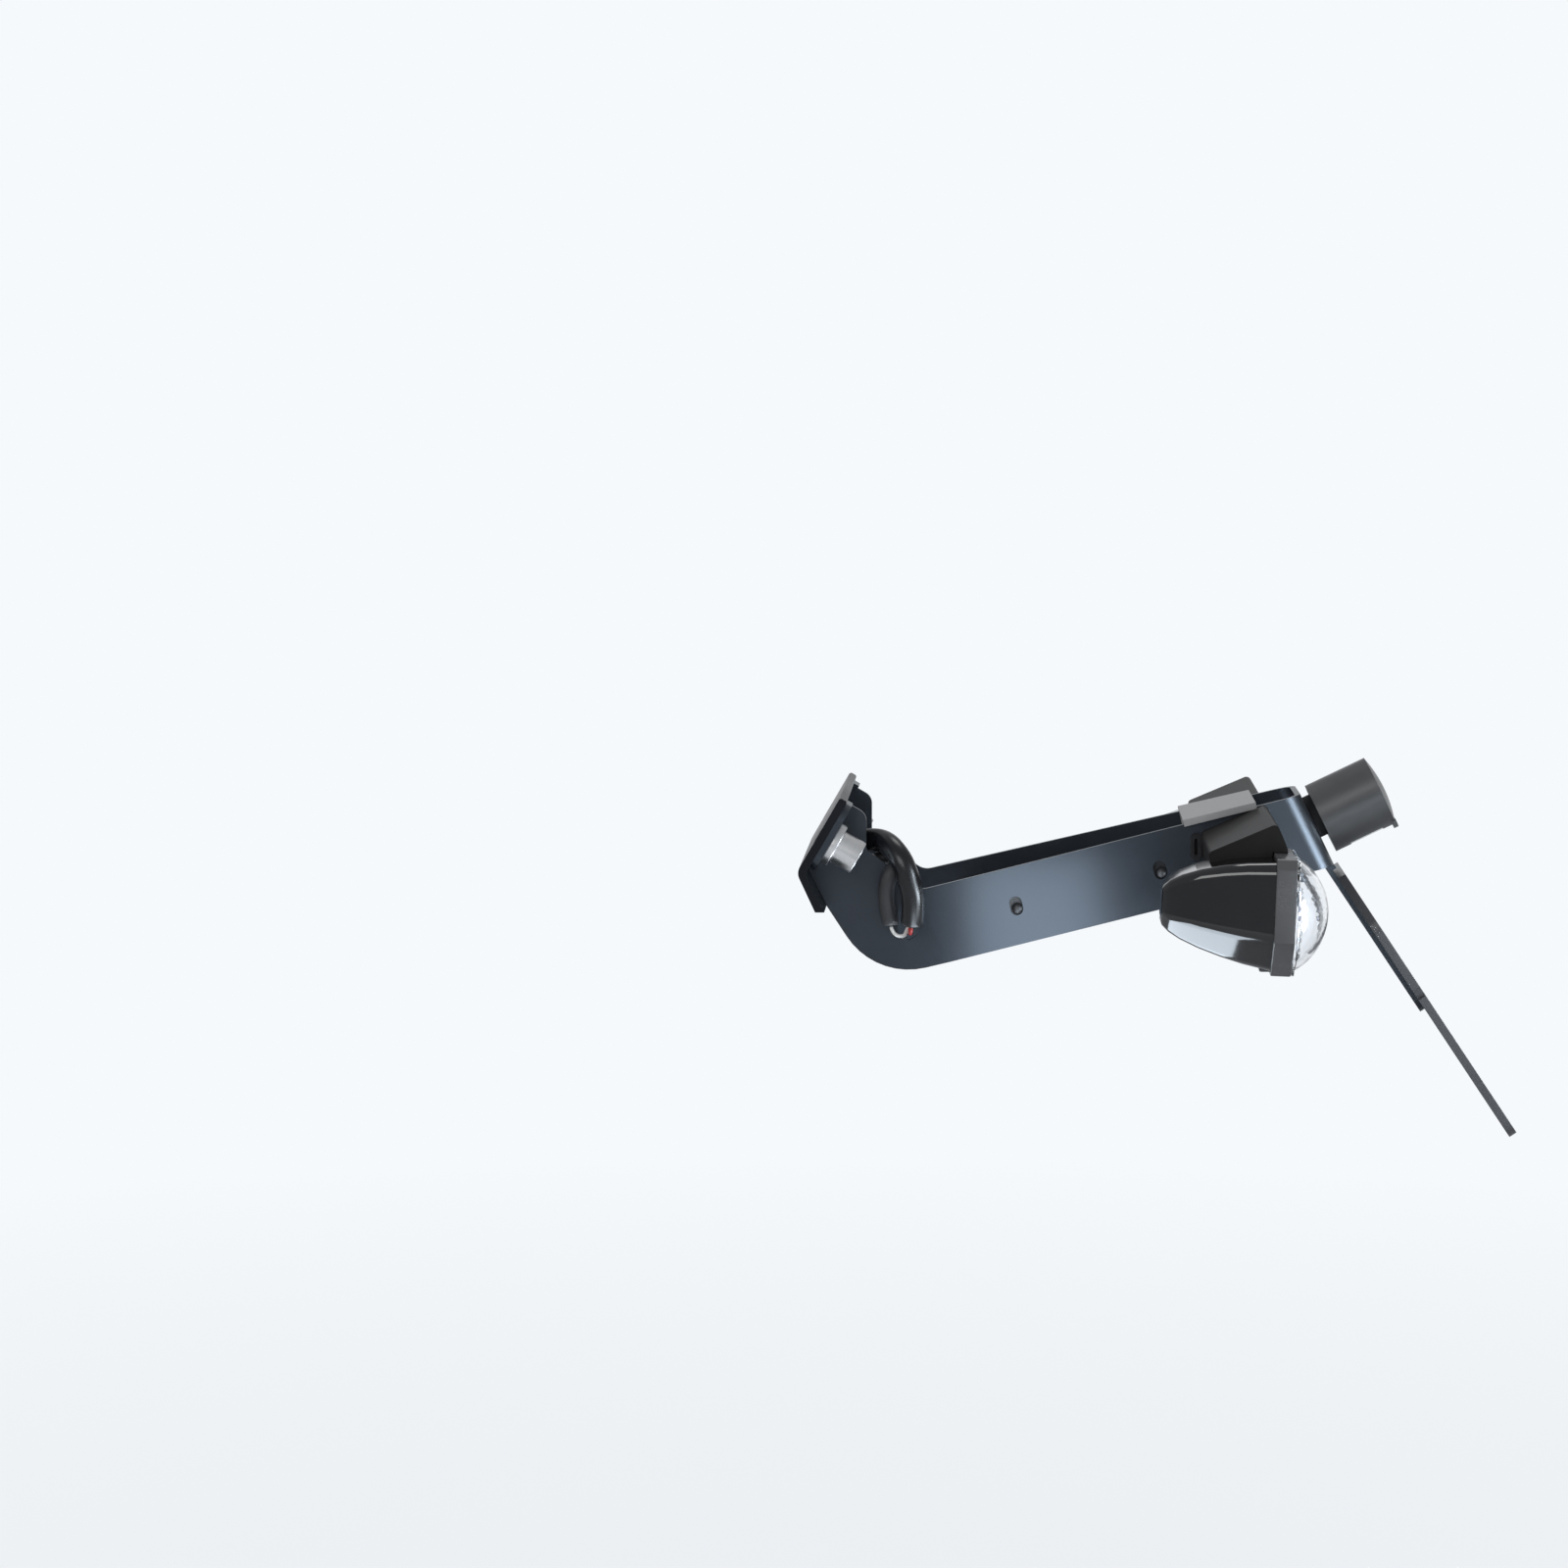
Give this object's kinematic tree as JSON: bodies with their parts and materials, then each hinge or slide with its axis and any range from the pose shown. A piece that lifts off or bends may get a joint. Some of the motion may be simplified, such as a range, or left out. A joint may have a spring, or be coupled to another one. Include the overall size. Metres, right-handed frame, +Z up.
{
  "type": "tail tidy",
  "caption": "Folded sheet bracket that bolts under a motorbike's tail and carries the number plate on a sloping holder, with a plate lamp and indicators",
  "frame": {"origin": "middle of the face that meets the tail frame, level with the two bolt holes", "axes": "+X to the rear of the motorbike, +Y to its right, +Z up"},
  "size_m": [0.3397, 0.305, 0.1752],
  "materials": {
    "bracket_black": "satin black powder coat with a bluish sheen",
    "adaptor_black": "satin black powder coat",
    "collar_aluminium": "turned and polished",
    "moulded_black": "moulded, fine grain",
    "saddle_grey": "satin grey top",
    "stem_black": "moulded, satin",
    "zinc_steel": "zinc plated",
    "soft_rubber": "matt",
    "housing_gloss": "high gloss",
    "bezel_black": "satin",
    "clear_lens": "clear moulded lens",
    "reflector_chrome": "vacuum metallised",
    "bulb_glass": "amber tinted glass",
    "lead_black": "smooth cable sheath",
    "lamp_grey": "satin dark grey",
    "lamp_window_clear": "clear",
    "board_green": "solder mask",
    "holder_black": "satin black powder coat",
    "rivet_black": "black oxide",
    "sleeve_gloss": "glossy sleeve",
    "strand_grey": "dark grey sleeve",
    "wire_white": "wire insulation",
    "wire_red": "wire insulation"
  },
  "bodies": {
    "root": {"arm_bracket": "bracket_black", "mount_adaptor": "adaptor_black", "left_mount_collar": "collar_aluminium", "right_mount_collar": "collar_aluminium", "cable_cover": "moulded_black", "indicator_saddle": "saddle_grey", "left_stem": "stem_black", "right_stem": "stem_black", "left_stem_stud": "zinc_steel", "right_stem_stud": "zinc_steel", "left_stem_nut": "zinc_steel", "right_stem_nut": "zinc_steel", "left_wire_grommet": "soft_rubber", "right_wire_grommet": "soft_rubber", "left_housing": "housing_gloss", "right_housing": "housing_gloss", "left_bezel": "bezel_black", "right_bezel": "bezel_black", "left_lens": "clear_lens", "right_lens": "clear_lens", "left_reflector": "reflector_chrome", "right_reflector": "reflector_chrome", "left_bulb": "bulb_glass", "right_bulb": "bulb_glass", "left_bulb_holder": "moulded_black", "right_bulb_holder": "moulded_black", "left_indicator_lead": "lead_black", "right_indicator_lead": "lead_black", "lamp_gasket": "soft_rubber", "lamp_body": "lamp_grey", "lamp_window": "lamp_window_clear", "lamp_board": "board_green", "lamp_screws": "zinc_steel", "lamp_lead": "lead_black", "plate_holder": "holder_black", "carrier_rivets": "rivet_black", "loom_connector": "moulded_black", "loom_sleeve": "sleeve_gloss", "loom_strand": "strand_grey", "white_wire": "wire_white", "red_wire": "wire_red", "loom_trunk": "lead_black"}
  },
  "joints": []
}
